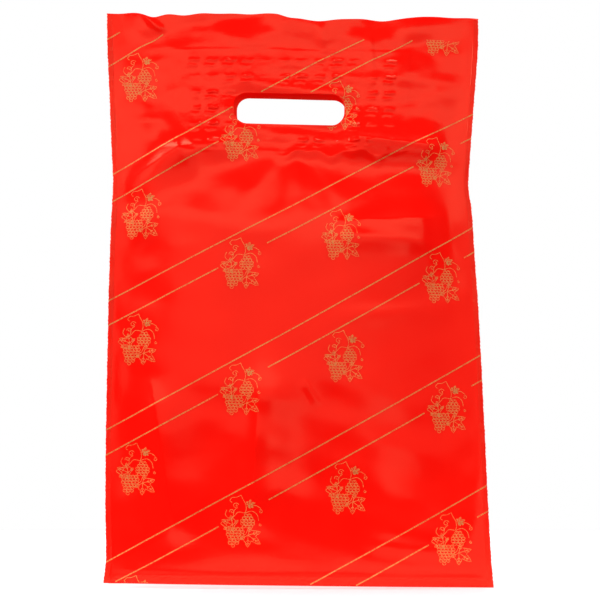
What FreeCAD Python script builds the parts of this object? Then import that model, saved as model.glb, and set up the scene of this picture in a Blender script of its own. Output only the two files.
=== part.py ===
"""Flat plastic gift bag with a punched hand hole: a parametric FreeCAD model in millimetres.

One web of polythene film is folded twice at the bottom, into a front panel, the two legs of
a tucked-in gusset and a back panel. A hot-wire weld down each side joins the layers. Inside
the mouth a stiffer patch is glued behind each panel, and one punch has cut the hand hole
through both panels and both patches.

Frame: X runs across the bag, the front faces -Y, and Z is up. The origin is the middle of
the hand hole's upper edge, where a hook or a hand carries the bag, so the bag hangs below it.
The bag hangs empty, with a little air between its panels. The film and the layers glued and
welded to it are drawn 0.1 mm thick. Each panel is drawn in flat facets: a flat middle, and a
slanting flank down each side to the weld.
"""
import FreeCAD, Part
import math
import os
import Sketcher

SIZES = [
    ("bag_width", 300, "outside width, over both welds"),
    ("bag_height", 450, "bottom fold to the cut top edge"),
    ("weld_width", 4, "width of each side weld"),
    ("weld_bead", 0.4, "thickness of the melted bead of the weld"),
    ("film", 0.1, "thickness of the film"),
    ("swing_gap", 0.3, "room round the front panel, so that it swings clear"),
    ("gusset_depth", 20, "height of the tucked-in gusset"),
    ("front_puff", 12, "how far the front stands out from the middle plane"),
    ("back_puff", 8, "how far the back stands out from the middle plane"),
    ("front_mouth", 6, "the same for the front at the handle and the mouth"),
    ("back_mouth", 5, "the same for the back at the handle and the mouth"),
    ("patch_clear", 5, "a patch's side edge to the start of the flanks, at full puff"),
    ("base_rise", 100, "height over which the bag swells, from its bottom"),
    ("shoulder", 30, "height over which it closes in below the handle zone"),
    ("handle_zone", 120, "height of the straight zone round the handle"),
    ("slot_length", 90, "hand hole, across the bag"),
    ("slot_height", 25, "hand hole, up the bag"),
    ("slot_corner", 10, "corner radius of the hand hole"),
    ("slot_drop", 77, "top edge of the bag to the middle of the hand hole"),
    ("patch_film", 0.15, "thickness of the handle patches"),
    ("patch_width", 190, "handle patch, across the bag"),
    ("patch_above", 50, "middle of the hand hole to the patch's top edge"),
    ("patch_below", 37, "middle of the hand hole to the patch's bottom edge"),
    ("patch_corner", 8, "corner radius of the patches"),
    ("glue", 0.1, "thickness of the glue under a patch"),
    ("dash_length", 11, "length of one dash of glue"),
    ("dash_width", 1.6, "width of one dash of glue"),
    ("dash_pitch", 14.5, "dash to dash along a row"),
    ("row_pitch", 13, "row to row of dashes"),
    ("glue_margin", 5, "glue to the edge of the patch or of the hand hole, at least"),
]
CUT_MARGIN = 5.0  # how far a cutting tool stands past what it cuts

doc = FreeCAD.newDocument("gift_bag")
sheet = doc.addObject("Spreadsheet::Sheet", "Sizes")
for row, (alias, number, meaning) in enumerate(SIZES, start=1):
    sheet.set(f"A{row}", str(number))
    sheet.setAlias(f"A{row}", alias)
    sheet.set(f"B{row}", meaning)
doc.recompute()
size = {alias: float(sheet.get(alias)) for alias, _, _ in SIZES}


def bound(text):
    """An expression on the sheet, from one in bare aliases between spaces or brackets."""
    for mark in "()*/+-":
        text = text.replace(mark, f" {mark} ")
    return " ".join(f"Sizes.{word}" if word in size else word for word in text.split())


HANG_HEIGHT = "(bag_height - slot_drop + slot_height / 2)"  # bottom fold to the origin
PANEL_HALF = "(bag_width / 2 - weld_width)"  # middle of the bag to the inside of a weld


def hang(piece, label):
    """Name a sub-part and lower it, so that the origin is at the hand hole's upper edge."""
    piece.Label = label
    piece.setExpression("Placement.Base.z", bound(f"-1 * {HANG_HEIGHT}"))
    return piece


def origin_plane(body, role):
    return next(plane for plane in body.Origin.OriginFeatures if plane.Role == role)


def new_sketch(body, role, offset=None):
    sketch = body.newObject("Sketcher::SketchObject", body.Name + "_sketch")
    sketch.AttachmentSupport = [(origin_plane(body, role), "")]
    sketch.MapMode = "FlatFace"
    if offset:
        sketch.setExpression("AttachmentOffset.Base.z", bound(offset))
    return sketch


def bind(sketch, constraint, expression):
    """Add a dimension to a sketch and tie it to the sheet."""
    index = sketch.addConstraint(constraint)
    sketch.setExpression(f"Constraints[{index}]", bound(expression))


def polygon(sketch, corners):
    """A closed outline whose corners are pairs of expressions, measured from the origin."""
    count = len(corners)
    turns = [2 * math.pi * i / count for i in range(count + 1)]
    start = [FreeCAD.Vector(math.cos(turn), math.sin(turn), 0) for turn in turns]
    for i in range(count):
        sketch.addGeometry(Part.LineSegment(start[i], start[i + 1]))
    for i, (across, up) in enumerate(corners):
        sketch.addConstraint(Sketcher.Constraint("Coincident", i, 2, (i + 1) % count, 1))
        bind(sketch, Sketcher.Constraint("DistanceX", -1, 1, i, 1, start[i].x), across)
        bind(sketch, Sketcher.Constraint("DistanceY", -1, 1, i, 1, start[i].y), up)


def rounded_outline(sketch, width, low, high, corner):
    """A rectangle with round corners, centred on the sketch's vertical axis.

    width, low, high and corner are pairs: the number now, and the expression it is tied to.
    """
    half, radius = width[0] / 2, corner[0]
    left, right = -half + radius, half - radius
    bottom, top = low[0] + radius, high[0] - radius
    corners = [(right, bottom), (right, top), (left, top), (left, bottom)]
    first = sketch.GeometryCount
    for i, (x, y) in enumerate(corners):
        centre = FreeCAD.Vector(x, y, 0)
        circle = Part.Circle(centre, FreeCAD.Vector(0, 0, 1), radius)
        start = (i - 1) * math.pi / 2
        arc = Part.ArcOfCircle(circle, start, start + math.pi / 2)
        next_x, next_y = corners[(i + 1) % 4]
        outwards = FreeCAD.Vector(math.cos(start + math.pi / 2), math.sin(start + math.pi / 2), 0)
        line_start = centre + outwards * radius
        line_end = FreeCAD.Vector(next_x, next_y, 0) + outwards * radius
        sketch.addGeometry(arc)
        sketch.addGeometry(Part.LineSegment(line_start, line_end))
    arcs = [first + 2 * i for i in range(4)]
    lines = [arc + 1 for arc in arcs]  # right, top, left, bottom
    for i in range(4):
        sketch.addConstraint(Sketcher.Constraint("Tangent", arcs[i], 2, lines[i], 1))
        sketch.addConstraint(Sketcher.Constraint("Tangent", lines[i], 2, arcs[(i + 1) % 4], 1))
        sketch.addConstraint(Sketcher.Constraint("Vertical" if i % 2 == 0 else "Horizontal", lines[i]))
    for arc in arcs[1:]:
        sketch.addConstraint(Sketcher.Constraint("Equal", arcs[0], arc))
    bind(sketch, Sketcher.Constraint("Radius", arcs[0], radius), corner[1])
    bind(sketch, Sketcher.Constraint("DistanceX", -1, 1, lines[0], 1, half), f"{width[1]} / 2")
    bind(sketch, Sketcher.Constraint("DistanceX", -1, 1, lines[2], 1, -half), f"-1 * {width[1]} / 2")
    bind(sketch, Sketcher.Constraint("DistanceY", -1, 1, lines[3], 1, low[0]), low[1])
    bind(sketch, Sketcher.Constraint("DistanceY", -1, 1, lines[1], 1, high[0]), high[1])


def pad(body, sketch, length, midplane=False):
    feature = body.newObject("PartDesign::Pad", body.Name + "_pad")
    feature.Profile = sketch
    feature.setExpression("Length", bound(length))
    feature.Midplane = midplane
    return feature


def boolean(kind, name, base, tool):
    feature = doc.addObject(kind, name)
    feature.Base = base
    feature.Tool = tool
    return feature


SLOT_MIDDLE = size["bag_height"] - size["slot_drop"]
SLOT_MIDDLE_TEXT = "(bag_height - slot_drop)"


def slot_outline(sketch):
    """The hand hole, with its place up the bag."""
    half = size["slot_height"] / 2
    rounded_outline(
        sketch,
        (size["slot_length"], "slot_length"),
        (SLOT_MIDDLE - half, f"{SLOT_MIDDLE_TEXT} - slot_height / 2"),
        (SLOT_MIDDLE + half, f"{SLOT_MIDDLE_TEXT} + slot_height / 2"),
        (size["slot_corner"], "slot_corner"),
    )


def form(name, sign, half, edge, base, puff, mouth, inset=None):
    """The space behind one panel's outer face, as the part common to two prisms.

    One prism has the bag's plan, the other its side view. All depths are measured from the
    middle plane, towards the side that sign gives. With an inset, the form is that much
    shallower and runs past both ends, so that cutting it away leaves a panel of film.
    """
    less = f" - {inset}" if inset else ""
    past = CUT_MARGIN if inset else 0
    back = f"{edge} - film" + (f" - {CUT_MARGIN}" if inset else "")
    flank = f"({half} - patch_width / 2 - patch_clear)"  # across the bag, from weld to flat middle
    run = f"{flank} / ({puff} - {edge})"  # the same for each millimetre of depth
    crest = f"({half} - ({puff} + {CUT_MARGIN} - {edge}) * {run})"
    rim = f"({half} + {past} * {run})"

    plan = doc.addObject("PartDesign::Body", name + "_plan")
    outline = [
        (rim, f"{edge}{less} - {past}"),
        (crest, f"{puff} + {CUT_MARGIN}{less}"),
        (f"-1 * {crest}", f"{puff} + {CUT_MARGIN}{less}"),
        (f"-1 * {rim}", f"{edge}{less} - {past}"),
        (f"-1 * {rim}", back + (f" - {past}" if inset else "")),
        (rim, back + (f" - {past}" if inset else "")),
    ]
    plan_sketch = new_sketch(plan, "XY_Plane", f"-1 * {past}")
    polygon(plan_sketch, [(x, f"{sign} * ({depth})") for x, depth in outline])
    pad(plan, plan_sketch, f"bag_height + 2 * {past}")

    profile = doc.addObject("PartDesign::Body", name + "_profile")
    stations = [
        (f"{base}{less}", f"-1 * {past}"),
        (f"{base}{less}", "0"),
        (f"{puff}{less}", "base_rise"),
        (f"{puff}{less}", "bag_height - handle_zone - shoulder"),
        (f"{mouth}{less}", "bag_height - handle_zone"),
        (f"{mouth}{less}", f"bag_height + {past}"),
        (back + (f" - {past}" if inset else ""), f"bag_height + {past}"),
        (back + (f" - {past}" if inset else ""), f"-1 * {past}"),
    ]
    if not inset:
        stations.pop(0)
    profile_sketch = new_sketch(profile, "YZ_Plane")
    polygon(profile_sketch, [(f"{sign} * ({depth})", up) for depth, up in stations])
    pad(profile, profile_sketch, f"bag_width + 2 * {CUT_MARGIN}", midplane=True)
    return boolean("Part::Common", name + "_form", plan, profile)


def panel(label, sign, half, edge, puff, mouth):
    """One panel of film: an outer form less the same form a film's thickness further in."""
    outer = form(label + "_outer", sign, half, edge, edge, puff, mouth)
    inner = form(label + "_inner", sign, half, edge, edge, puff, mouth, inset="film")
    film = boolean("Part::Cut", label + "_film", outer, inner)
    punch = doc.addObject("PartDesign::Body", label + "_punch")
    sketch = new_sketch(punch, "XZ_Plane")
    slot_outline(sketch)
    pad(punch, sketch, f"4 * {puff}", midplane=True)
    return hang(boolean("Part::Cut", label + "_cut", film, punch), label)


def handle_patch(label, depth):
    """A rectangle of thicker film round the hand hole. depth is how far its front is forward."""
    body = doc.addObject("PartDesign::Body", label + "_body")
    sketch = new_sketch(body, "XZ_Plane", depth)
    rounded_outline(
        sketch,
        (size["patch_width"], "patch_width"),
        (SLOT_MIDDLE - size["patch_below"], f"{SLOT_MIDDLE_TEXT} - patch_below"),
        (SLOT_MIDDLE + size["patch_above"], f"{SLOT_MIDDLE_TEXT} + patch_above"),
        (size["patch_corner"], "patch_corner"),
    )
    slot_outline(sketch)
    pad(body, sketch, "patch_film")
    return hang(body, label)


def glue_places():
    """Row and column of each dash, counted from the hand hole's middle, clear of its edges."""
    reach = (size["patch_width"] - size["dash_length"]) / 2 - size["glue_margin"]
    columns = int(reach / size["dash_pitch"] + 0.5)
    rows_up = int((size["patch_above"] - size["glue_margin"]) / size["row_pitch"])
    rows_down = int((size["patch_below"] - size["glue_margin"]) / size["row_pitch"])
    beside = (size["slot_length"] + size["dash_length"]) / 2 + size["glue_margin"]
    over = (size["slot_height"] + size["dash_width"]) / 2 + size["glue_margin"]
    for row in range(-rows_down, rows_up + 1):
        for step in range(-columns, columns):
            column = step + 0.5
            near_slot = abs(column) * size["dash_pitch"] < beside and abs(row) * size["row_pitch"] < over
            if abs(column) * size["dash_pitch"] <= reach and not near_slot:
                yield row, column


def glue_dashes(label, near):
    """The dashes of glue that hold a patch to its panel. near is the y of their lower face."""
    dashes = []
    for row, column in glue_places():
        dash = doc.addObject("Part::Box", label + "_dash")
        dash.setExpression("Length", bound("dash_length"))
        dash.setExpression("Width", bound("glue"))
        dash.setExpression("Height", bound("dash_width"))
        dash.setExpression("Placement.Base.x", bound(f"{column} * dash_pitch - dash_length / 2"))
        dash.setExpression("Placement.Base.y", bound(near))
        up = f"{SLOT_MIDDLE_TEXT} + {row} * row_pitch - dash_width / 2"
        dash.setExpression("Placement.Base.z", bound(up))
        dashes.append(dash)
    group = doc.addObject("Part::Compound", label + "_group")
    group.Links = dashes
    return hang(group, label)


def plate(label, length, width, height, x, y):
    """A flat strip that stands on the bag's bottom fold."""
    box = doc.addObject("Part::Box", label + "_box")
    for name, expression in (("Length", length), ("Width", width), ("Height", height)):
        box.setExpression(name, bound(expression))
    box.setExpression("Placement.Base.x", bound(x))
    box.setExpression("Placement.Base.y", bound(y))
    return hang(box, label)


# The layers at the bottom, from the back: back panel, two legs of the gusset, a gap for the
# front panel to swing in, and the front panel.
BACK_EDGE = "(2 * film)"
FRONT_EDGE = "(2 * film + swing_gap)"
FRONT_HALF = f"({PANEL_HALF} - swing_gap)"

front_patch_outer = "(front_mouth - film - glue)"
back_patch_outer = "(back_mouth - film - glue)"

subparts = [
    panel("front_panel", -1, FRONT_HALF, FRONT_EDGE, "front_puff", "front_mouth"),
    panel("back_panel", 1, PANEL_HALF, BACK_EDGE, "back_puff", "back_mouth"),
    plate("front_gusset_leg", f"2 * {PANEL_HALF}", "film", "gusset_depth", f"-1 * {PANEL_HALF}", "-1 * film"),
    plate("back_gusset_leg", f"2 * {PANEL_HALF}", "film", "gusset_depth", f"-1 * {PANEL_HALF}", "0"),
    plate("left_side_weld", "weld_width", "weld_bead", "bag_height", "-1 * bag_width / 2", "-1 * weld_bead / 2"),
    plate("right_side_weld", "weld_width", "weld_bead", "bag_height", PANEL_HALF, "-1 * weld_bead / 2"),
    handle_patch("front_handle_patch", f"{front_patch_outer} - patch_film"),
    handle_patch("back_handle_patch", f"-1 * {back_patch_outer}"),
    glue_dashes("front_patch_glue", f"-1 * {front_patch_outer} - glue"),
    glue_dashes("back_patch_glue", back_patch_outer),
]

doc.recompute()
for item in doc.Objects:
    if "Invalid" in item.State or "Error" in item.State:
        raise RuntimeError(f"{item.Label} is {item.State}")
for piece in subparts:
    if piece.Shape.isNull() or not piece.Shape.isValid() or not piece.Shape.Solids:
        raise RuntimeError(f"{piece.Label} has no valid solid")

os.makedirs("parts", exist_ok=True)
for piece in subparts:
    piece.Shape.exportStep(f"parts/{piece.Label}.step")
    box = piece.Shape.BoundBox
    print(
        f"{piece.Label}: {len(piece.Shape.Solids)} solids, {piece.Shape.Volume:.1f} mm3, "
        f"x {box.XMin:.2f} to {box.XMax:.2f}, y {box.YMin:.2f} to {box.YMax:.2f}, "
        f"z {box.ZMin:.2f} to {box.ZMax:.2f}"
    )
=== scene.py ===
"""A flat red plastic gift bag with a punched hand hole and gold print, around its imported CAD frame.

The film is described in millimetres on a flat sheet: u runs across the bag from its middle, w
runs up from the bottom fold. A relief says how far the film stands out from the bag's middle
plane at each (u, w). Panels, patches, glue and print all read the same relief, so they lie on
each other. The front faces -Y, and depth is measured outwards on either side.
"""

import math

import bpy
import numpy as np
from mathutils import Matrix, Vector


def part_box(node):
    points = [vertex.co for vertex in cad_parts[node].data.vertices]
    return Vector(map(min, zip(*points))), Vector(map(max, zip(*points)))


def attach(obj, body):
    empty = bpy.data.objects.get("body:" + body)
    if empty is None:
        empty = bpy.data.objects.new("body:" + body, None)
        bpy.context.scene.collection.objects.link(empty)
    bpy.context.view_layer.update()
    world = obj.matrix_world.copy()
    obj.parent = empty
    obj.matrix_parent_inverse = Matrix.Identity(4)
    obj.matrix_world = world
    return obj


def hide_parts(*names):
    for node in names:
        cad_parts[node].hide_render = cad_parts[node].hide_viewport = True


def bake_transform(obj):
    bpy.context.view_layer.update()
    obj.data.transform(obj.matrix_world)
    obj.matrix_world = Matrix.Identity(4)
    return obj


MM = 0.001
SIDES = ((-1, "left"), (1, "right"))       # the sign of u on either half of the bag, and its name
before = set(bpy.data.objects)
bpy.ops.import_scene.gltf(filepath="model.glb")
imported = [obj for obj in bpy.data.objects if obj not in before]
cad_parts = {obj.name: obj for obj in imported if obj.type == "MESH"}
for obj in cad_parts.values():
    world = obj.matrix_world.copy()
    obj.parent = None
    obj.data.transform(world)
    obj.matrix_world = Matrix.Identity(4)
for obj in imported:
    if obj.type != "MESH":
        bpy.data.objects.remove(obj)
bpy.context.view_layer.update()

# ---------------------------------------------------------------- sizes read from the frame, mm
low, high = (np.array(corner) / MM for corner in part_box("front_panel"))
weld_low, weld_high = (np.array(corner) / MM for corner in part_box("left_side_weld"))
patch_low, patch_high = (np.array(corner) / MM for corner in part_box("front_handle_patch"))
gusset_low, gusset_high = (np.array(corner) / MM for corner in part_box("front_gusset_leg"))

BOTTOM = low[2]                            # height of the bottom fold in the frame
HEIGHT = high[2] - low[2]
HALF_BAG = -weld_low[0]                    # middle of the bag to the outside of a weld
HALF_PANEL = -weld_high[0]                 # middle of the bag to the inside of a weld
GUSSET = gusset_high[2] - gusset_low[2]
PATCH_HALF = patch_high[0]
PATCH_LOW = patch_low[2] - BOTTOM
PATCH_HIGH = patch_high[2] - BOTTOM
PATCH_TALL = PATCH_HIGH - PATCH_LOW
SLOT_HALF, SLOT_RISE, SLOT_CORNER = 45.3, 12.5, 10.5
SLOT_MIDDLE = -BOTTOM - SLOT_RISE          # the origin is on the hand hole's upper edge
FILM, PATCH_FILM, GLUE_GAP = 0.12, 0.2, 0.06   # thickness of the film, a patch and the glue
EDGE_DEPTH = 0.25                          # middle plane to the film's outer face at a weld
LEAST_DEPTH = EDGE_DEPTH * 0.9             # no fold goes nearer to the middle plane than this
MOST_DEPTH = 17.0                          # nor further from it at the front

# ---------------------------------------------------------------- small maths


def smooth(t):
    """0 below 0, 1 above 1, and an S curve between."""
    t = np.clip(t, 0.0, 1.0)
    return t * t * (3 - 2 * t)


def curve_through(points, x):
    """A smooth curve through a few (x, y) points, flat at its two ends."""
    xs, ys = (np.array(column, float) for column in zip(*points))
    slopes = np.zeros_like(ys)
    slopes[1:-1] = (ys[2:] - ys[:-2]) / (xs[2:] - xs[:-2])
    x = np.clip(x, xs[0], xs[-1])
    i = np.clip(np.searchsorted(xs, x, side="right") - 1, 0, len(xs) - 2)
    span = xs[i + 1] - xs[i]
    t = (x - xs[i]) / span
    a, b = ys[i], ys[i + 1]
    da, db = slopes[i] * span, slopes[i + 1] * span
    return a + t * (da + t * (3 * (b - a) - 2 * da - db + t * (2 * (a - b) + da + db)))


def waves(seed, count, shortest, longest, stretch=1.0):
    """A fixed set of random plane waves; stretch above 1 draws them out across the bag."""
    draw = np.random.default_rng(seed)
    length = shortest * (longest / shortest) ** draw.random(count)
    heading = draw.random(count) * 2 * math.pi
    across = np.cos(heading) / stretch
    up = np.sin(heading)
    norm = 2 * math.pi / length / np.hypot(across, up)
    return across * norm, up * norm, draw.random(count) * 2 * math.pi


def field(spread, u, w):
    """The height of a set of waves, about -1 to 1."""
    total = np.zeros(np.broadcast(u, w).shape)
    for across, up, phase in zip(*spread):
        total = total + np.sin(across * u + up * w + phase)
    return total / math.sqrt(len(spread[0])) / 1.4


def crease(u, w, start, end, above, below, tall, taper=0.18):
    """A ridge along a line: its two flanks have their own widths, and it fades at its ends."""
    (u0, w0), (u1, w1) = start, end
    run = math.hypot(u1 - u0, w1 - w0)
    du, dw = (u1 - u0) / run, (w1 - w0) / run
    along = ((u - u0) * du + (w - w0) * dw) / run
    off = (w - w0) * du - (u - u0) * dw
    width = np.where(off > 0, above, below)
    fade = smooth(along / taper) * smooth((1 - along) / taper)
    return tall * np.exp(-((off / width) ** 2)) * fade


def blob(u, w, centre, across, up, tall):
    """A round swelling, or a hollow where tall is negative."""
    return tall * np.exp(-(((u - centre[0]) / across) ** 2) - ((w - centre[1]) / up) ** 2)


# ---------------------------------------------------------------- the hand hole


FRONT_SLOT = (-3.2, -0.6)                  # how far either panel's hole lies from the CAD's
BACK_SLOT = (-1.2, -2.4)
SLOT_TILT = 0.011                          # the holes' fall to the right, per millimetre of film


def slot_distance(u, w, shift):
    """Distance outside the hand hole's edge, negative inside it. shift moves the hole."""
    x, y = u - shift[0], w - SLOT_MIDDLE - shift[1] + SLOT_TILT * u
    qx = np.abs(x) - (SLOT_HALF - SLOT_CORNER)
    qy = np.abs(y) - (SLOT_RISE - SLOT_CORNER)
    outside = np.hypot(np.maximum(qx, 0), np.maximum(qy, 0))
    return outside + np.minimum(np.maximum(qx, qy), 0) - SLOT_CORNER


# ---------------------------------------------------------------- outline of the bag

# How far each edge is drawn in at a height up the bag, as (height, inset).
LEFT_INSET = [(0, 0.2), (17, 1.9), (60, 1.2), (120, 1.3), (200, 2.4), (260, 3.6), (300, 5.2),
              (313, 5.6), (335, 4.6), (380, 2.6), (430, 0.4), (450, 0.0)]
RIGHT_INSET = [(0, 0.0), (17, 1.0), (60, 2.4), (120, 3.6), (200, 5.6), (260, 8.0), (296, 9.6),
               (311, 11.4), (330, 10.2), (374, 6.0), (400, 3.4), (430, 0.8), (450, 0.2)]
OUT_OF_SQUARE = 0.0105                     # sideways lean of the bag, per millimetre of height
TOP_SLOPE = -0.0113                        # the cut edges fall to the right


def top_edge(u):
    """How far the cut top edge stands above its straight line, mostly in dips below it."""
    return (
        1.0 * smooth((-98 - u) / 26)
        - 3.4 * np.exp(-(((u + 112) / 9) ** 2))
        - 1.4 * np.exp(-(((u + 87) / 11) ** 2))
        - 2.5 * smooth((u + 14) / 14) * smooth((106 - u) / 22)
        - 3.4 * np.exp(-(((u - 22) / 21) ** 2))
        - 2.0 * np.exp(-(((u - 70) / 14) ** 2))
        + 0.25 * np.sin(u / 4.3)
    )


def outline(u, w):
    """Place in the bag's own plane, x and z in frame millimetres, of a point of the flat film."""
    inset = np.where(u < 0, curve_through(LEFT_INSET, w), curve_through(RIGHT_INSET, w))
    x = u * (1 - inset / HALF_BAG) - OUT_OF_SQUARE * (w - HEIGHT / 2)
    z = w + TOP_SLOPE * u + top_edge(u) * smooth((w - HEIGHT + 42) / 42)
    return x, z + BOTTOM


# ---------------------------------------------------------------- relief

LIP = 26                                   # height of the band that waves along the cut top edge
FOLD_EDGE, FOLD_FOOT = 34, 40              # the film's folds fade over this much from a weld and the bottom
WAIST_EDGE = 40                            # the same for the folds of the handle and the waist
BROAD = waves(3, 14, 90, 220, 1.3)
STREAKS = waves(8, 22, 26, 70, 3.2)
RIPPLES = waves(15, 26, 9, 22, 2.2)
SEAM_PUCKERS = waves(21, 16, 22, 60, 0.25)
BACK_PUCKERS = waves(27, 16, 22, 60, 0.25)
BACK_BROAD = waves(33, 14, 80, 200, 1.3)
BACK_STREAKS = waves(38, 22, 26, 70, 3.0)

DASH_PITCH, ROW_PITCH = 14.5, 13.0         # the glue dashes' spacing along a row and between rows
DASH_HALF, DASH_RISE = 5.5, 0.8            # half of a dash's length and of its height
DASH_CLEAR = 5                             # least gap between a dash and the hand hole


def dash_centres():
    """Where the glue dashes lie, measured from the hand hole's middle, clear of its edges."""
    for row in range(-2, 4):
        for column in np.arange(-5.5, 6):
            u, w = column * DASH_PITCH, row * ROW_PITCH
            beside = abs(u) > SLOT_HALF + DASH_HALF + DASH_CLEAR
            over = abs(w) > SLOT_RISE + DASH_RISE + DASH_CLEAR
            if beside or over:
                yield u, SLOT_MIDDLE + w


def embossing(u, w):
    """The print-through of the glue dashes, stronger in some places than in others."""
    near_u = (u / DASH_PITCH + 0.5) % 1.0 - 0.5
    near_w = ((w - SLOT_MIDDLE) / ROW_PITCH + 0.5) % 1.0 - 0.5
    wobble = 0.35 * np.sin(u * 0.9 + w * 0.31)
    across = np.abs(np.abs(near_u) - 0.5) * DASH_PITCH
    strength = np.clip(0.6 + 1.3 * field(STREAKS, w, u), 0.1, 1.4)
    bar = smooth((DASH_HALF - 0.3 - across) / 1.6) * strength
    line = np.exp(-(((near_w * ROW_PITCH + wobble) / 1.25) ** 2))
    inside = smooth((PATCH_HALF - 6 - np.abs(u)) / 5)
    inside = inside * smooth((w - PATCH_LOW - 5) / 4) * smooth((PATCH_HIGH - 6 - w) / 4)
    clear = smooth((slot_distance(u, w, (0, 0)) - 3) / 3)
    return bar * line * inside * clear


def patch_step(u, w):
    """1 over the patch and 0 beside it, with the patch's wavy lower edge."""
    wavy = 1.6 * np.sin(u / 7.2) * smooth((u + 30) / 50)
    side = smooth((PATCH_HALF - np.abs(u)) / 2.4 + 0.5)
    return side * smooth((w - PATCH_LOW - wavy) / 2.6) * smooth((PATCH_HIGH - w) / 2.6)


def lens(u, edge, full, flat_half):
    """The bag's section: flat in the middle, curving to the weld at both sides."""
    t = np.clip((np.abs(u) - flat_half) / (HALF_PANEL - flat_half), 0, 1)
    return edge + (full - edge) * (1 - t ** 2) ** 1.4


# Depth of the flat middle at a height up the bag, as (height, depth).
FRONT_PROFILE = [(0, 2.6), (14, 3.2), (60, 7.0), (110, 9.6), (200, 11.2), (262, 11.4), (283, 11.0),
                 (304, 9.2), (328, 6.4), (346, 5.2), (368, 5.5), (410, 6.2), (450, 6.8)]
BACK_PROFILE = [(0, 2.0), (14, 2.3), (60, 5.4), (110, 7.0), (200, 7.6), (262, 7.4), (300, 6.6),
                (330, 5.0), (368, 5.0), (450, 5.4)]


def shelf(u, w, start, end, above, below, tall, taper=0.25):
    """A fold with a sharp crest: it falls away steeply above the line and gently below it."""
    (u0, w0), (u1, w1) = start, end
    run = math.hypot(u1 - u0, w1 - w0)
    du, dw = (u1 - u0) / run, (w1 - w0) / run
    along = ((u - u0) * du + (w - w0) * dw) / run
    off = (w - w0) * du - (u - u0) * dw
    blunt = np.sqrt(off ** 2 + 0.8) - 0.9
    steep = np.exp(-np.maximum(blunt, 0) / above)
    gentle = np.exp(-((off / below) ** 2))
    fade = smooth(along / taper) * smooth((1 - along) / taper)
    return tall * np.where(off > 0, steep, gentle) * fade


def handle_zone_folds(u, w):
    """Folds round the hand hole, between the stiff patch and the two kinks of the waist."""
    depth = shelf(u, w, (-150, 306), (-82, 347), 13, 17, 3.4, 0.2)
    depth += shelf(u, w, (-126, 338), (-24, 347), 9, 15, 2.7, 0.45)
    depth += shelf(u, w, (34, 352), (134, 343), 14, 14, 4.6, 0.22)
    depth += crease(u, w, (-150, 352), (-108, 366), 9, 9, 0.9, 0.3)
    # the cut mouth: short vertical creases and a dent at either corner
    depth += crease(u, w, (60, 452), (66, 392), 2.6, 3.6, 0.55, 0.4)
    depth += crease(u, w, (22, 452), (26, 416), 3.0, 4.4, 0.6, 0.4)
    depth += crease(u, w, (-124, 455), (-100, 434), 2.6, 3.4, 0.9, 0.3)
    depth += crease(u, w, (-100, 440), (20, 452), 7, 9, -0.7, 0.3)
    depth += crease(u, w, (84, 436), (140, 448), 9, 8, 0.8, 0.3)
    depth += crease(u, w, (70, 410), (146, 384), 12, 14, 0.9, 0.3)
    return depth


def patch_edge_ripples(u, w):
    """The film below the patch hangs in scallops from its lower edge."""
    line = PATCH_LOW + 1.5 + 2.0 * np.sin(u / 6.6) + 1.1 * np.sin(u / 3.1 + 1)
    off = w - line
    fold = np.where(off > 0, np.exp(-off / 4.5), np.exp(-((off / 5.5) ** 2)))
    span = smooth((u + 16) / 16) * smooth((84 - u) / 14)
    faint = 0.35 * smooth((PATCH_HALF - np.abs(u)) / 12)
    return 1.05 * fold * np.maximum(span, faint)


def waist_folds(u, w):
    """The belly's shoulder below the waist, sharpest at the right, and the fan above it."""
    along = smooth((u - 38) / 100)
    crest = 282 + 0.05 * (u - 40)
    above = np.maximum(np.sqrt((w - crest) ** 2 + 0.6) - 0.8, 0)
    fall = np.exp(-above / (5 + 24 * along))
    swell = np.exp(-(((w - crest) / 46) ** 2))
    tall = (1.2 + 6.8 * along) * smooth((HALF_PANEL - u) / 60) * smooth((u - 30) / 16)
    depth = tall * np.where(w > crest, fall, swell)
    depth += shelf(u, w, (-165, 268), (-92, 296), 14, 18, 1.2, 0.3)
    for lean, foot, tall in ((-0.7, -34, 0.35), (-0.25, -14, -0.35), (0.15, 4, 0.4), (0.6, 26, -0.3)):
        depth += crease(u, w, (foot - lean * 40, 342), (foot + lean * 34, 276), 6, 8, tall, 0.3)
    depth += crease(u, w, (24, 271), (128, 264), 6, 8, 0.8, 0.3)
    depth += crease(u, w, (10, 205), (120, 214), 9, 8, 0.7, 0.3)
    return depth


def belly_folds(u, w):
    """Soft columns and hollows of the belly, and the few sharp marks on it."""
    depth = shelf(u, w, (-37, 30), (-25, 186), 17, 27, 4.4, 0.3)
    depth += shelf(u, w, (-92, 24), (-115, 164), 13, 21, 3.7, 0.25)
    depth += blob(u, w, (-126, 76), 10, 28, -1.0)
    depth += blob(u, w, (76, 84), 40, 36, 0.8)
    depth += crease(u, w, (40, 34), (160, 22), 9, 9, -0.9, 0.3)
    depth += crease(u, w, (3, 160), (20, 137), 1.8, 4.6, 0.5, 0.35)
    return depth


def seam_puckers(u, w, spread, tall):
    """Short puckers across a weld, a little way in from it."""
    inside = HALF_PANEL - np.abs(u)
    band = np.exp(-((inside / 20) ** 2)) * (1 - np.exp(-((inside / 6) ** 2)))
    return tall * band * field(spread, u, w)


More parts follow.
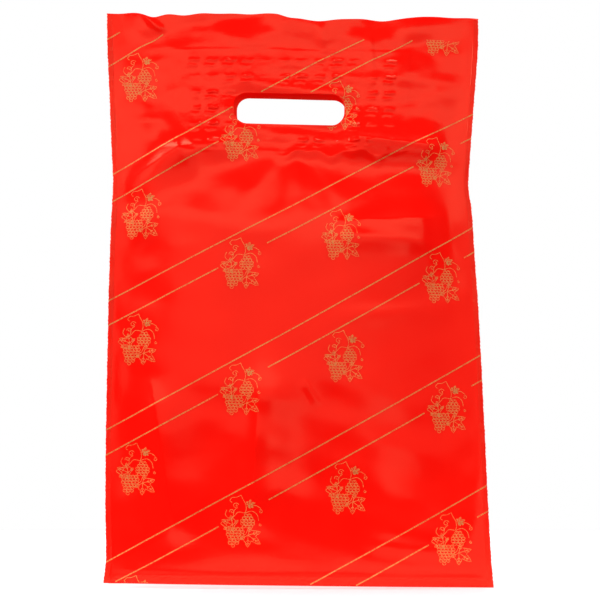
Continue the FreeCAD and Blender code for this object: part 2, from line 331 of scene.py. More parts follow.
def front_depth(u, w):
    """How far the front film's outer face stands from the middle plane, with every fold added."""
    depth = lens(u, EDGE_DEPTH, curve_through(FRONT_PROFILE, w), 40)
    inside = np.maximum(HALF_PANEL - np.abs(u), 0)
    body = smooth(inside / FOLD_EDGE)
    near_edge = smooth(inside / WAIST_EDGE)
    rise = smooth(w / FOLD_FOOT)
    depth += near_edge * (handle_zone_folds(u, w) + waist_folds(u, w))
    depth += body * rise * belly_folds(u, w)
    depth += patch_edge_ripples(u, w) + 0.42 * embossing(u, w) + 0.12 * patch_step(u, w)
    depth += 0.20 * embossing(u + 2, w + 4.6)
    depth += 0.45 * np.exp(-((slot_distance(u, w, (0, 0)) / 10) ** 2)) * np.sin(w / 3.4 + u / 31)
    handle = smooth((w - 336) / 20)
    depth += body * rise * (0.40 * field(BROAD, u, w) + 0.26 * field(STREAKS, u, w))
    depth += body * 0.05 * field(RIPPLES, u, w) * (0.3 + 1.3 * handle)
    depth += rise * seam_puckers(u, w, SEAM_PUCKERS, 0.45)
    lip = smooth((w - HEIGHT + LIP) / LIP)
    depth += lip * body * (0.8 * np.sin(u / 19 + 0.8) - 0.5 * np.sin(u / 8.5))
    depth += 0.4 * np.exp(-(((w - 6.5) / 2.6) ** 2)) * smooth(inside / 12)
    corner_ear = np.exp(-(((u + HALF_PANEL) / 10) ** 2)) * smooth((20 - w) / 20)
    depth += 0.8 * corner_ear
    return np.clip(depth, LEAST_DEPTH, MOST_DEPTH)


def back_depth(u, w):
    """The same for the back film, which has fewer and softer folds."""
    full = curve_through(BACK_PROFILE, w)
    depth = lens(u, EDGE_DEPTH, full, 62)
    body = smooth((HALF_PANEL - np.abs(u)) / FOLD_EDGE)
    rise = smooth(w / FOLD_FOOT)
    depth += crease(u, w, (-152, 318), (-40, 340), 9, 12, -1.2, 0.3)
    depth += crease(u, w, (30, 338), (152, 316), 9, 12, -1.2, 0.3)
    depth += crease(u, w, (-140, 296), (20, 282), 10, 14, 0.8, 0.3)
    depth += body * crease(u, w, (20, 40), (36, 230), 18, 22, 0.9, 0.3)
    depth += body * crease(u, w, (-90, 60), (-50, 190), 14, 20, -0.8, 0.3)
    depth += 0.30 * embossing(u, w) + 0.12 * patch_step(u, w)
    near_slot = np.exp(-((slot_distance(u, w, (0, 0)) / 11) ** 2))
    depth += 0.35 * near_slot * np.sin(w / 3.3 - u / 27)
    depth += body * rise * (0.5 * field(BACK_BROAD, u, w) + 0.18 * field(BACK_STREAKS, u, w))
    depth += body * 0.06 * field(RIPPLES, u, w)
    depth += rise * seam_puckers(u, w, BACK_PUCKERS, 0.4)
    lip = smooth((w - HEIGHT + LIP) / LIP)
    depth += lip * body * 0.7 * np.sin(u / 22 + 2.0)
    return np.maximum(depth, LEAST_DEPTH)


WELD_LAP = 0.4                             # the weld strip's overlap onto the panels


def weld_bead(u, w):
    """Half the thickness of the melted edge, and how far the edge sways to the back."""
    share = np.clip((np.abs(u) - HALF_PANEL + WELD_LAP) / (HALF_BAG - HALF_PANEL + WELD_LAP), 0, 1.1)
    crimp = 0.05 * np.sin(w * math.pi / 1.5) * np.sin(share * math.pi)
    return 0.26 - 0.1 * share + crimp, 0.7 * field(SEAM_PUCKERS, 0 * w, w) * share ** 1.5


def surface(side, u, w):
    """Points of the outer face of a panel and its weld, in frame millimetres."""
    depth = front_depth(u, w) if side == "front" else back_depth(u, w)
    thick, sway = weld_bead(u, w)
    on_weld = np.abs(u) > HALF_PANEL
    depth = np.where(on_weld, thick - sway if side == "front" else thick + sway, depth)
    x, z = outline(u, w)
    y = -depth if side == "front" else depth
    return np.stack([x, y, z], axis=-1)


def surface_with_normals(side, u, w):
    """The outer face and its outward unit normals, from small steps along the sheet."""
    step = 0.3
    along = surface(side, u + step, w) - surface(side, u - step, w)
    up = surface(side, u, w + step) - surface(side, u, w - step)
    normal = np.cross(along, up)
    if side == "back":
        normal = -normal
    normal /= np.linalg.norm(normal, axis=-1, keepdims=True)
    return surface(side, u, w), normal


# ---------------------------------------------------------------- meshes


def quads(index):
    """The faces of a grid of point numbers."""
    faces = np.stack([index[:-1, :-1], index[:-1, 1:], index[1:, 1:], index[1:, :-1]], axis=-1)
    return faces.reshape(-1, 4)


def grid(columns, rows):
    """Points and faces of a sheet over these u and w lines."""
    u, w = np.meshgrid(columns, rows)
    return u.ravel(), w.ravel(), quads(np.arange(u.size).reshape(u.shape))


def punch(u, w, faces, shift):
    """Take the hand hole out of a sheet, and draw its rim onto the hole's outline."""
    middle_u, middle_w = u[faces].mean(1), w[faces].mean(1)
    keep = slot_distance(middle_u, middle_w, shift) > 0
    touched = np.zeros(len(u), bool)
    touched[faces[~keep].ravel()] = True
    used = np.zeros(len(u), bool)
    used[faces[keep].ravel()] = True
    rim = touched & used
    step = 0.01
    for _ in range(3):
        d = slot_distance(u[rim], w[rim], shift)
        slope_u = (slot_distance(u[rim] + step, w[rim], shift) - d) / step
        slope_w = (slot_distance(u[rim], w[rim] + step, shift) - d) / step
        size = slope_u ** 2 + slope_w ** 2
        u[rim] -= d * slope_u / size
        w[rim] -= d * slope_w / size
    new = np.cumsum(used) - 1
    return u[used], w[used], new[faces[keep]]


def boundary(faces):
    """The edges that only one face has, in that face's direction."""
    edges = np.concatenate([faces[:, [i, (i + 1) % 4]] for i in range(4)])
    key = np.sort(edges, axis=1)
    _, first, count = np.unique(key, axis=0, return_index=True, return_counts=True)
    return edges[first[count == 1]]


def closed(faces, count):
    """Faces of a closed skin: these faces, the same ones reversed on the next count points, and a rim."""
    edges = boundary(faces)
    rim = np.stack([edges[:, 1], edges[:, 0], edges[:, 0] + count, edges[:, 1] + count], axis=1)
    return np.concatenate([faces, faces[:, ::-1] + count, rim])


def make_object(name, points, faces, material, normals=None):
    """A mesh object from points in frame millimetres and one array of four-sided faces."""
    mesh = bpy.data.meshes.new(name)
    mesh.vertices.add(len(points))
    mesh.vertices.foreach_set("co", (np.asarray(points) * MM).astype(np.float32).ravel())
    mesh.loops.add(faces.size)
    mesh.loops.foreach_set("vertex_index", faces.ravel().astype(np.int32))
    mesh.polygons.add(len(faces))
    mesh.polygons.foreach_set("loop_start", np.arange(0, faces.size, 4, dtype=np.int32))
    mesh.polygons.foreach_set("use_smooth", np.ones(len(faces), bool))
    mesh.update(calc_edges=True)
    mesh.validate()
    if normals is not None:
        mesh.normals_split_custom_set_from_vertices(normals.tolist())
    mesh.materials.append(material)
    piece = bpy.data.objects.new(name, mesh)
    bpy.context.scene.collection.objects.link(piece)
    return piece


def film_piece(name, side, u, w, faces, material, thickness, sink=0.0):
    """A closed piece of film: an outer skin, an inner skin and the cut rim between them.

    sink is how far the outer skin lies under the panel's own outer face.
    """
    outer, normal = surface_with_normals(side, u, w)
    outer = outer - normal * sink
    inner = outer - normal * thickness
    if side == "back":
        faces = faces[:, ::-1]
    skins = closed(faces, len(u))
    points = np.concatenate([outer, inner])
    return make_object(name, points, skins, material, np.concatenate([normal, -normal]))


# ---------------------------------------------------------------- materials


def new_material(name):
    """A material, its node tree and its shader."""
    material = bpy.data.materials.new(name)
    material.use_nodes = True
    tree = material.node_tree
    return material, tree, tree.nodes["Principled BSDF"]


def add(tree, kind, **inputs):
    """A new node, with some of its inputs set."""
    node = tree.nodes.new(kind)
    for key, value in inputs.items():
        node.inputs[key.replace("_", " ")].default_value = value
    return node


def object_place(tree, stretch):
    """Object coordinates, in metres, stretched so that a texture draws out along an axis."""
    place = tree.nodes.new("ShaderNodeTexCoord")
    mapping = add(tree, "ShaderNodeMapping", Scale=stretch)
    tree.links.new(place.outputs["Object"], mapping.inputs["Vector"])
    return mapping.outputs["Vector"]


def film_material(name, deep, bright, roughness, bump):
    """Blown polythene: pigment in faint streaks, a soft gloss, a fine orange peel and a painted red glow.
    """
    material, tree, shader = new_material(name)
    streaks = add(tree, "ShaderNodeTexNoise", Scale=26.0, Detail=4.0, Roughness=0.55)
    tree.links.new(object_place(tree, (1.0, 1.0, 0.35)), streaks.inputs["Vector"])
    pigment = tree.nodes.new("ShaderNodeValToRGB")
    pigment.color_ramp.elements[0].position, pigment.color_ramp.elements[1].position = 0.32, 0.7
    pigment.color_ramp.elements[0].color, pigment.color_ramp.elements[1].color = deep, bright
    tree.links.new(streaks.outputs["Fac"], pigment.inputs["Fac"])
    tree.links.new(pigment.outputs["Color"], shader.inputs["Base Color"])
    gloss = tree.nodes.new("ShaderNodeMapRange")
    gloss.inputs["To Min"].default_value, gloss.inputs["To Max"].default_value = roughness
    haze = add(tree, "ShaderNodeTexNoise", Scale=60.0, Detail=3.0)
    tree.links.new(object_place(tree, (1.0, 1.0, 1.0)), haze.inputs["Vector"])
    tree.links.new(haze.outputs["Fac"], gloss.inputs["Value"])
    tree.links.new(gloss.outputs["Result"], shader.inputs["Roughness"])
    peel = add(tree, "ShaderNodeTexNoise", Scale=420.0, Detail=3.0, Roughness=0.6)
    tree.links.new(object_place(tree, (1.0, 1.0, 1.0)), peel.inputs["Vector"])
    dents = add(tree, "ShaderNodeBump", Strength=bump, Distance=0.0004)
    tree.links.new(peel.outputs["Fac"], dents.inputs["Height"])
    tree.links.new(dents.outputs["Normal"], shader.inputs["Normal"])
    shader.inputs["Specular IOR Level"].default_value = 0.36
    shader.inputs["Specular Tint"].default_value = (1.0, 0.92, 0.5, 1)
    # Painted glow: every film made here emits a faint even red light of its own, which no lamp casts.
    shader.inputs["Emission Color"].default_value = (1.0, 0.004, 0.001, 1)  # painted glow: an even red emission standing in for light through the film
    shader.inputs["Emission Strength"].default_value = 0.22
    return material


RED = film_material("red_film", (0.95, 0.0010, 0.0005, 1), (0.99, 0.0032, 0.0010, 1), (0.12, 0.20), 0.06)
WELD = film_material("weld_bead", (0.78, 0.003, 0.0015, 1), (0.90, 0.008, 0.003, 1), (0.18, 0.34), 0.35)
PATCH = film_material("patch_film", (0.72, 0.004, 0.002, 1), (0.82, 0.010, 0.004, 1), (0.38, 0.50), 0.20)


def gold_ink():
    """Gold printing ink, with pinholes and thin places where the film shows through."""
    material, tree, shader = new_material("gold_ink")
    grain = add(tree, "ShaderNodeTexNoise", Scale=900.0, Detail=2.0)
    tree.links.new(object_place(tree, (1.0, 1.0, 1.0)), grain.inputs["Vector"])
    cover = tree.nodes.new("ShaderNodeValToRGB")
    cover.color_ramp.elements[0].position, cover.color_ramp.elements[1].position = 0.36, 0.56
    cover.color_ramp.elements[0].color = (0.86, 0.10, 0.020, 1)
    cover.color_ramp.elements[1].color = (0.88, 0.34, 0.085, 1)
    tree.links.new(grain.outputs["Fac"], cover.inputs["Fac"])
    tree.links.new(cover.outputs["Color"], shader.inputs["Base Color"])
    shader.inputs["Metallic"].default_value = 0.25
    shader.inputs["Roughness"].default_value = 0.42
    return material


GOLD = gold_ink()


def glue_material():
    """Clear hot glue, blotchy against the red film."""
    material, tree, shader = new_material("patch_glue")
    blotch = add(tree, "ShaderNodeTexNoise", Scale=300.0)
    tree.links.new(object_place(tree, (1.0, 1.0, 1.0)), blotch.inputs["Vector"])
    tone = tree.nodes.new("ShaderNodeValToRGB")
    tone.color_ramp.elements[0].color = (0.70, 0.30, 0.22, 1)
    tone.color_ramp.elements[1].color = (0.86, 0.48, 0.38, 1)
    tree.links.new(blotch.outputs["Fac"], tone.inputs["Fac"])
    tree.links.new(tone.outputs["Color"], shader.inputs["Base Color"])
    shader.inputs["Roughness"].default_value = 0.5
    return material


GLUE = glue_material()

# ---------------------------------------------------------------- front pieces, baked where they are built


def follow(piece, side):
    """Bakes a front piece's transform into its points.

    side is -1 for a piece of the left half and 1 for one of the right half; it is not used.
    """
    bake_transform(piece)


# ---------------------------------------------------------------- panels

FINE_FROM = 326.0                          # rows are closer together from here up
lower_rows = np.linspace(0, FINE_FROM, 206)
upper_rows = np.linspace(FINE_FROM, HEIGHT, 150)
panel_rows = np.concatenate([lower_rows, upper_rows[1:]])

for side, label in SIDES:
    lines = np.linspace(-HALF_PANEL, 0, 99) if side < 0 else np.linspace(0, HALF_PANEL, 99)
    cut = punch(*grid(lines, panel_rows), FRONT_SLOT)
    half = film_piece(f"front_panel_{label}", "front", *cut, RED, FILM)
    follow(half, side)
    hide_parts("front_panel")

back_lines = np.linspace(-HALF_PANEL, HALF_PANEL, 171)
back_rows = np.concatenate([np.linspace(0, FINE_FROM, 180), np.linspace(FINE_FROM, HEIGHT, 120)[1:]])
cut = punch(*grid(back_lines, back_rows), BACK_SLOT)
back = film_piece("back_film", "back", *cut, RED, FILM)
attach(back, "back")
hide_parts("back_panel")

# ---------------------------------------------------------------- handle patches and their glue

PATCH_CORNER = 8.0


def rounded_patch(u_lines):
    """A patch's grid, with its outer corners drawn in to their radius."""
    u, w, faces = grid(u_lines, np.linspace(PATCH_LOW, PATCH_HIGH, 74))
    middle = (PATCH_LOW + PATCH_HIGH) / 2
    rise = PATCH_TALL / 2
    past_u = np.abs(u) - (PATCH_HALF - PATCH_CORNER)
    past_w = np.abs(w - middle) - (rise - PATCH_CORNER)
    in_corner = (past_u > 0) & (past_w > 0)
    reach = np.hypot(past_u, past_w)
    square = np.maximum(past_u, past_w)
    scale = np.where(in_corner & (reach > 1e-6), square / np.maximum(reach, 1e-6), 1.0)
    new_u = np.sign(u) * (PATCH_HALF - PATCH_CORNER + past_u * scale)
    new_w = middle + np.sign(w - middle) * (rise - PATCH_CORNER + past_w * scale)
    return np.where(in_corner, new_u, u), np.where(in_corner, new_w, w), faces


for side, label in SIDES:
    lines = np.linspace(-PATCH_HALF, 0, 78) if side < 0 else np.linspace(0, PATCH_HALF, 78)
    cut = punch(*rounded_patch(lines), FRONT_SLOT)
    sheet = film_piece(f"front_patch_{label}", "front", *cut, PATCH, PATCH_FILM, FILM + GLUE_GAP)
    follow(sheet, side)
    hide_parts("front_handle_patch")

patch_lines = np.linspace(-PATCH_HALF, PATCH_HALF, 130)
cut = punch(*rounded_patch(patch_lines), BACK_SLOT)
back_patch = film_piece("back_patch", "back", *cut, PATCH, PATCH_FILM, FILM + GLUE_GAP)
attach(back_patch, "back")
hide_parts("back_handle_patch")


PAD_CORNERS = 20                           # corners of one dash's rounded outline


def glue_piece(name, side, keep):
    """Thin dashes of glue between a panel and its patch, as rounded pads on the film's inside."""
    turns = np.linspace(0, 2 * math.pi, PAD_CORNERS + 1)[:-1]
    centres = np.array([centre for centre in dash_centres() if keep(centre[0])])
    u = centres[:, :1] + DASH_HALF * np.sign(np.cos(turns)) * np.abs(np.cos(turns)) ** 0.6
    w = centres[:, 1:] + DASH_RISE * np.sign(np.sin(turns)) * np.abs(np.sin(turns)) ** 0.8
    outer, normal = surface_with_normals(side, u, w)
    points = np.concatenate([outer - normal * FILM, outer - normal * (FILM + GLUE_GAP)], axis=1)
    ring = np.arange(PAD_CORNERS)
    following = np.roll(ring, -1)
    wall = np.stack([ring, ring + PAD_CORNERS, following + PAD_CORNERS, following], axis=1)
    strip = np.arange(PAD_CORNERS // 2 - 1)
    cap = np.stack([strip, strip + 1, PAD_CORNERS - 2 - strip, PAD_CORNERS - 1 - strip], axis=1)
    pad = np.concatenate([wall, cap, cap[:, ::-1] + PAD_CORNERS])
    faces = (pad[None] + 2 * PAD_CORNERS * np.arange(len(centres))[:, None, None]).reshape(-1, 4)
    if side == "back":
        faces = faces[:, ::-1]
    return make_object(name, points.reshape(-1, 3), faces, GLUE)


for side, label in SIDES:
    glue = glue_piece(f"front_glue_{label}", "front", lambda u, side=side: u * side > 0)
    follow(glue, side)
    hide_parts("front_patch_glue")
back_glue = glue_piece("back_glue", "back", lambda u: True)
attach(back_glue, "back")
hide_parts("back_patch_glue")

# ---------------------------------------------------------------- side welds and gusset


def weld(side, label):
    """The melted bead that joins the layers: a flat strip with a knurled, slightly wavy edge."""
    rows = np.linspace(0, HEIGHT, 301)
    across = np.linspace(0, 1, 7)
    share, w = np.meshgrid(across, rows)
    nibble = 0.16 * np.sin(w * 1.9) + 0.12 * np.sin(w * 0.53 + 1)
    u = side * (HALF_PANEL - WELD_LAP + (HALF_BAG - HALF_PANEL + WELD_LAP + nibble * share) * share)
    x, z = outline(u, w)
    thick, flutter = weld_bead(u, w)
    index = np.arange(u.size).reshape(u.shape)
    front = np.stack([x, flutter - thick, z], axis=-1).reshape(-1, 3)
    rear = np.stack([x, flutter + thick, z], axis=-1).reshape(-1, 3)
    faces = quads(index)
    if side < 0:
        faces = faces[:, ::-1]
    points = np.concatenate([front, rear])
    strip = make_object(f"{label}_weld_strip", points, closed(faces, u.size), WELD)
    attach(strip, "back")
    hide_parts(f"{label}_side_weld")


weld(-1, "left")
weld(1, "right")


def gusset():
    """One strip of film folded up inside the bag's bottom, its two legs a little apart."""
    lines = np.linspace(-HALF_PANEL, HALF_PANEL, 171)
    steps = 15
    front_leg = np.linspace(0, 1, steps)
    u, t = np.meshgrid(lines, np.concatenate([front_leg, 1 + front_leg[1:]]))
    rise = np.where(t <= 1, t, 2 - t)
    w = 0.985 * GUSSET * rise
    tip = GUSSET * 0.02 * np.sin(u / 13)
    near = front_depth(u, 0 * u + 0.4) - FILM * 0.5
    far = back_depth(u, 0 * u + 0.4) - FILM * 0.5
    bow = 0.25 * np.sin(u / 9.0 + 0.7) * np.sin(rise * math.pi)
    closing = (1 - smooth(rise * 0.97)) ** 0.9
    y = np.where(t <= 1, -near * closing, far * closing)
    y = y + bow * np.minimum(near, far) * 0.6
    x, z = outline(u, w + tip * rise)
    index = np.arange(u.size).reshape(u.shape)
    faces = quads(index)
    points = np.stack([x, y, z], axis=-1).reshape(-1, 3)
    piece = make_object("gusset_film", points, faces, RED)
    thicken = piece.modifiers.new("film", "SOLIDIFY")
    thicken.thickness = FILM * MM
    thicken.offset = 0.0
    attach(piece, "back")
    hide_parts("front_gusset_leg", "back_gusset_leg")


gusset()

# ---------------------------------------------------------------- gold print

# The lines run in pairs, one pitch apart up the bag.
PAIRS, FIRST_PAIR, PAIR_PITCH = 6, -83.0, 101.0   # heights of the upper lines at the left weld
LINE_RISE = 0.543                          # a line's rise for each millimetre across
LINE_GAP, TOP_GAP = 19.5, 22.0             # down to the lower line, in the lower and top two pairs
LEAN = {3: -0.032, 5: 0.055}               # rise added to a pair that crosses the waist or handle
TOP_LIFT = 9.0                             # the top pair lies this much above its pitch
COLUMN = 81.8                              # from one column of ornaments to the next
FIRST_COLUMN = -125.4
HANG_DROP, INLINE_DROP = 24.2, 6.0         # lower line to the middle of an ornament, by column
BREAK_HALF, BREAK_SHIFT = 18.7, 1.5        # half the break in a lower line, and its place past the column
PRINT_BOTTOM, PRINT_TOP = 0.8, 432.9       # no print outside these heights
PRINT_TILT = 0.016                         # and that height falls to the right, per millimetre
LINE_WIDTH, STROKE_WIDTH = 0.88, 0.38      # of the slanted lines and of the ornaments
INK_LIFT = 0.07                            # how far the ink lies above the film's face
INK_CLEAR = 0.6                            # bare film round the hand hole
ORNAMENT_SCALE = np.array([1.12, 1.02])


def circle(x, y, radius, start=0.0, sweep=2 * math.pi, count=11):
    """A circle, or an arc of one."""
    turn = np.linspace(start, start + sweep, count)
    return np.stack([x + radius * np.cos(turn), y + radius * np.sin(turn)], axis=1)


def along_curve(points, count=9):
    """A smooth stroke through three or more points."""
    points = np.array(points, float)
    t = np.linspace(0, 1, len(points))
    fine = np.linspace(0, 1, count * (len(points) - 1) + 1)
    return np.stack([curve_through(np.stack([t, points[:, i]], axis=1), fine) for i in (0, 1)], axis=1)


def vine_leaf(x, y, length, turn):
    """A vine leaf: five pointed lobes with toothed sides, and a ribbed vein out to each tip."""
    lobes = [(-1.95, 0.62), (-0.95, 0.86), (0, 1.0), (0.95, 0.86), (1.95, 0.62)]
    edge = [(math.pi + turn, 0.16)]
    for i, (way, reach) in enumerate(lobes):
        if i:
            edge.append((way - 0.48 + turn, 0.46 + 0.05 * (i % 2)))
        edge += [(way - 0.24 + turn, 0.66 * reach), (way - 0.17 + turn, 0.82 * reach)]
        edge += [(way + turn, reach), (way + 0.15 + turn, 0.8 * reach), (way + 0.25 + turn, 0.7 * reach)]
    edge.append(edge[0])
    strokes = [np.array([[x + length * r * math.cos(a), y + length * r * math.sin(a)] for a, r in edge])]
    foot = np.array([x, y])
    for way, reach in lobes:
        tip = np.array([math.cos(way + turn), math.sin(way + turn)]) * length * reach
        strokes.append(np.stack([foot, foot + 0.85 * tip]))
        for share in (0.4, 0.62):
            for lean in (0.7, -0.7):
                rib = np.array([math.cos(way + turn + lean), math.sin(way + turn + lean)])
                strokes.append(np.stack([foot + share * tip, foot + share * tip + 0.17 * length * rib]))
    return strokes


def tendril(x, y, radius, turn, flip):
    """A curl that winds inwards."""
    t = np.linspace(0, 1, 14)
    angle = turn + flip * t * 7.5
    reach = radius * (1 - 0.8 * t)
    return np.stack([x + reach * np.cos(angle), y + reach * np.sin(angle)], axis=1)


def grapes(x, y, rows, lean):
    """A bunch of small grapes, in rows that narrow towards its tip."""
    strokes = []
    for row, count in enumerate(rows):
        for i in range(count):
            at = x + (i - (count - 1) / 2) * 2.45 + lean * row
            strokes.append(circle(at, y - row * 2.1, 1.18))
            strokes.append(circle(at, y - row * 2.1, 0.5, 0.5, 1.9, 4))
    return strokes


def ornament():
    """Two bunches of grapes among vine leaves, in millimetres about the middle."""
    strokes = [
        along_curve([(0.2, 20.4), (1.4, 17.4), (3.2, 14.0), (3.6, 10.0), (2.6, 7.0)]),
        along_curve([(0.2, 20.4), (-3.0, 18.8), (-6.0, 18.6)]),
        along_curve([(-6.0, 18.6), (-7.6, 16.4), (-6.2, 14.8)]),
        along_curve([(3.2, 14.0), (7.0, 12.6), (10.5, 12.8), (13.6, 10.6)]),
        along_curve([(2.6, 7.0), (-2.0, 7.6), (-5.5, 4.0), (-9.0, 3.0)]),
        along_curve([(-9.0, 3.0), (-11.0, 5.8), (-9.8, 9.2)]),
        along_curve([(-5.5, 4.0), (-4.8, 8.6), (-2.4, 11.0)]),
        along_curve([(2.6, 7.0), (7.4, 8.6), (11.0, 6.0), (12.0, 1.5)]),
        along_curve([(-6.5, 2.0), (-10.0, 1.8), (-14.2, -1.0), (-11.6, -3.6), (-10.4, -6.8)]),
        tendril(-3.6, 12.4, 2.3, 0.4, 1),
        tendril(13.4, 8.4, 1.6, 2.0, -1),
        tendril(-6.4, 8.0, 1.8, 3.4, -1),
        tendril(13.2, -1.8, 1.1, 1.6, 1),
    ]
    strokes += vine_leaf(5.6, 13.6, 4.4, 0.3)
    strokes += vine_leaf(6.0, 13.0, 2.8, -0.5)
    strokes += vine_leaf(-6.0, -2.0, 8.4, 2.7)
    strokes += vine_leaf(4.4, -9.6, 10.6, -0.66)
    strokes += grapes(4.6, 5.4, (2, 3, 4, 4, 3), -0.1)
    strokes += grapes(-3.8, -5.0, (4, 5, 5, 4, 3, 3, 1), -0.4)
    return strokes


def divided(stroke, longest=1.6):
    """A stroke with points added, so that it follows the film."""
    out = [stroke[:1]]
    for a, b in zip(stroke[:-1], stroke[1:]):
        count = max(1, int(np.ceil(np.hypot(*(b - a)) / longest)))
        t = np.arange(1, count + 1)[:, None] / count
        out.append(a + (b - a) * t)
    return np.concatenate(out)


def line_height(pair, u, lower):
    """Height of a pair's upper line at u, or of its lower line."""
    start = FIRST_PAIR + PAIR_PITCH * pair + TOP_LIFT * (pair == PAIRS - 1)
    gap = LINE_GAP if pair < PAIRS - 2 else TOP_GAP
    return start + (LINE_RISE + LEAN.get(pair, 0.0)) * (u + HALF_PANEL) - lower * gap


def printed_strokes():
    """Every stroke of one panel's print: points on the sheet, width, and whether it breaks."""
    across = np.linspace(-HALF_BAG + 0.1, HALF_BAG - 0.1, 231)
    drawn = [divided(stroke * ORNAMENT_SCALE) for stroke in ornament()]
    for pair in range(PAIRS):
        for lower in (0, 1):
            yield np.stack([across, line_height(pair, across, lower)], axis=1), LINE_WIDTH, bool(lower)
        for column in range(4):
            middle = FIRST_COLUMN + column * COLUMN
            drop = HANG_DROP if column % 2 == 0 else INLINE_DROP
            height = line_height(pair, middle, 1) - drop
            for stroke in drawn:
                yield stroke + [middle, height], STROKE_WIDTH, False


def printable(u, w, breaks, mirror, shift):
    """Whether ink lands here: on the bag, below the print's top and clear of the hand hole."""
    ok = (np.abs(u) < HALF_BAG) & (w > PRINT_BOTTOM) & (w + PRINT_TILT * u < PRINT_TOP)
    ok &= slot_distance(u * mirror, w, shift) > INK_CLEAR
    if breaks:
        for column in (1, 3):
            ok &= np.abs(u - FIRST_COLUMN - column * COLUMN - BREAK_SHIFT) > BREAK_HALF
    return ok


def print_piece(name, side, shift, keep):
    """Ribbons of ink that lie on a panel's outer face. The back reads the same as the front."""
    mirror = 1 if side == "front" else -1
    us, ws, faces, first = [], [], [], 0
    for stroke, width, breaks in printed_strokes():
        good = printable(stroke[:, 0], stroke[:, 1], breaks, mirror, shift) & keep(stroke[:, 0])
        pairs = np.nonzero(good[:-1] & good[1:])[0]
        if not len(pairs):
            continue
        tangent = np.gradient(stroke, axis=0)
        tangent /= np.maximum(np.linalg.norm(tangent, axis=1, keepdims=True), 1e-9)
        offset = np.stack([-tangent[:, 1], tangent[:, 0]], axis=1) * width / 2
        for way in (1, -1):
            us.append((stroke + way * offset)[:, 0] * mirror)
            ws.append((stroke + way * offset)[:, 1])
        left, right = first + pairs, first + len(stroke) + pairs
        faces.append(np.stack([left, right, right + 1, left + 1], axis=1))
        first += 2 * len(stroke)
    place, normal = surface_with_normals(side, np.concatenate(us), np.concatenate(ws))
    faces = np.concatenate(faces)
    used = np.unique(faces)
    new = np.zeros(len(place), int)
    new[used] = np.arange(len(used))
    points = place[used] + normal[used] * INK_LIFT
    return make_object(name, points, new[faces], GOLD, normal[used])


for side, label in SIDES:
    ink = print_piece(f"front_print_{label}", "front", FRONT_SLOT, lambda u, side=side: u * side >= 0)
    follow(ink, side)
back_ink = print_piece("back_print", "back", BACK_SLOT, lambda u: np.ones(len(u), bool))
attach(back_ink, "back")

# ---------------------------------------------------------------- floor, light and camera


FLOOR_DROP = 2.5                           # the floor lies this far below the bottom fold


def plain_floor():
    """A small floor under the bag, kept out of what the film reflects to the camera."""
    material, _, shader = new_material("pale_floor")
    shader.inputs["Base Color"].default_value = (0.62, 0.63, 0.64, 1)
    shader.inputs["Roughness"].default_value = 0.9
    shader.inputs["Emission Color"].default_value = (1, 1, 1, 1)
    shader.inputs["Emission Strength"].default_value = 0.27
    height = BOTTOM * MM - FLOOR_DROP * MM
    half, near, far = 0.7, -0.08, 0.36
    corners = [(-half, near, height), (half, near, height), (half, far, height), (-half, far, height)]
    mesh = bpy.data.meshes.new("floor")
    mesh.from_pydata(corners, [], [(0, 1, 2, 3)])
    mesh.materials.append(material)
    floor = bpy.data.objects.new("floor", mesh)
    bpy.context.scene.collection.objects.link(floor)


plain_floor()


def soft_light(name, place, target, size, radiance, colour=(1, 1, 1)):
    """A rectangular light of even brightness, aimed at target."""
    data = bpy.data.lights.new(name, "AREA")
    data.shape = "RECTANGLE"
    data.size, data.size_y = size
    data.energy = radiance * math.pi * size[0] * size[1]
    data.color = colour
    lamp = bpy.data.objects.new(name, data)
    lamp.location = place
    lamp.rotation_euler = (Vector(target) - Vector(place)).to_track_quat("-Z", "Y").to_euler()
    bpy.context.scene.collection.objects.link(lamp)


MIDDLE = Vector((0, 0, (BOTTOM + HEIGHT / 2) * MM))


def panel_light(name, left, right, bottom, top, radiance, colour=(1, 1, 1)):
    """A far panel in front of the bag, between these directions in degrees."""
    reach = 5.0
    edges = [reach * math.tan(math.radians(angle)) for angle in (left, right, bottom, top)]
    place = MIDDLE + Vector(((edges[0] + edges[1]) / 2, -reach, (edges[2] + edges[3]) / 2))
    size = (edges[1] - edges[0], edges[3] - edges[2])
    soft_light(name, place, place + Vector((0, 1, 0)), size, radiance, colour)


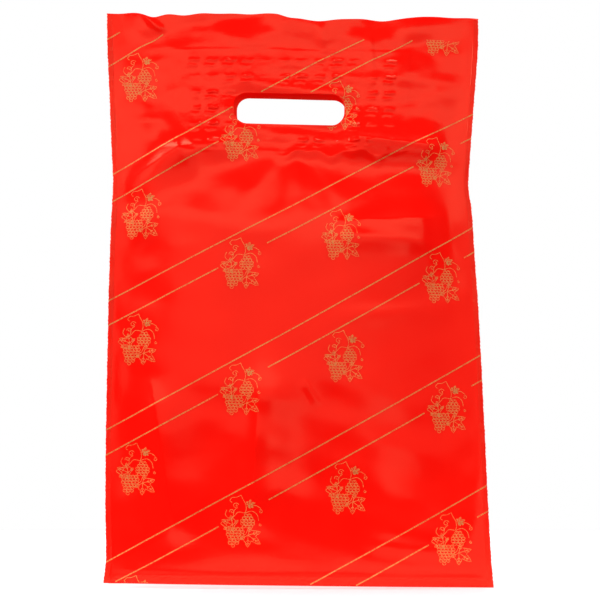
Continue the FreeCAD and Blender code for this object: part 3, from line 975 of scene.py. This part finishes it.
panel_light("wall", -24, 9, -5, 12, 0.62)
panel_light("side_wall", 8, 36, -4, 12, 0.36)
panel_light("window", -34, 34, 11, 22, 1.5, (1.0, 0.97, 0.95))
panel_light("doorway", 8, 18, -14, 4, 1.0)
soft_light("left", (-2.9, -0.85, 1.8), MIDDLE, (3.3, 3.3), 5.5)
soft_light("right", (3.2, -0.2, 1.1), MIDDLE, (3.0, 3.0), 3.0)
soft_light("top", (0.6, -1.7, 3.6), MIDDLE, (2.0, 2.0), 5.0)
soft_light("rear", (0.6, 2.2, 1.2), MIDDLE, (2.4, 2.4), 3.8)

world = bpy.data.worlds.new("studio")
bpy.context.scene.world = world
world.use_nodes = True
nodes, links = world.node_tree.nodes, world.node_tree.links
room = nodes["Background"]
room.inputs["Color"].default_value = (0.97, 0.99, 1.0, 1)
room.inputs["Strength"].default_value = 0.09
backdrop = nodes.new("ShaderNodeBackground")
backdrop.inputs["Color"].default_value = (1, 1, 1, 1)
backdrop.inputs["Strength"].default_value = 1.0
ray = nodes.new("ShaderNodeLightPath")
chosen = nodes.new("ShaderNodeMixShader")
links.new(ray.outputs["Is Camera Ray"], chosen.inputs[0])
links.new(room.outputs[0], chosen.inputs[1])
links.new(backdrop.outputs[0], chosen.inputs[2])
links.new(chosen.outputs[0], nodes["World Output"].inputs["Surface"])

bpy.context.scene.view_settings.view_transform = "Standard"

DISTANCE = 0.848
LOOK_UP = math.radians(5.3)                # the camera is a little below the bag's middle
OFF_CENTRE = Vector((0.0036, 0, -0.0047))  # and looks a little to the right of it and below it
camera_data = bpy.data.cameras.new("camera")
camera_data.lens = 64.6
camera_data.clip_end = 20
camera = bpy.data.objects.new("camera", camera_data)
aim = MIDDLE + OFF_CENTRE
camera.location = aim + Vector((0, -math.cos(LOOK_UP), -math.sin(LOOK_UP))) * DISTANCE
camera.rotation_euler = (aim - camera.location).to_track_quat("-Z", "Y").to_euler()
bpy.context.scene.collection.objects.link(camera)
bpy.context.scene.camera = camera

bpy.context.view_layer.update()
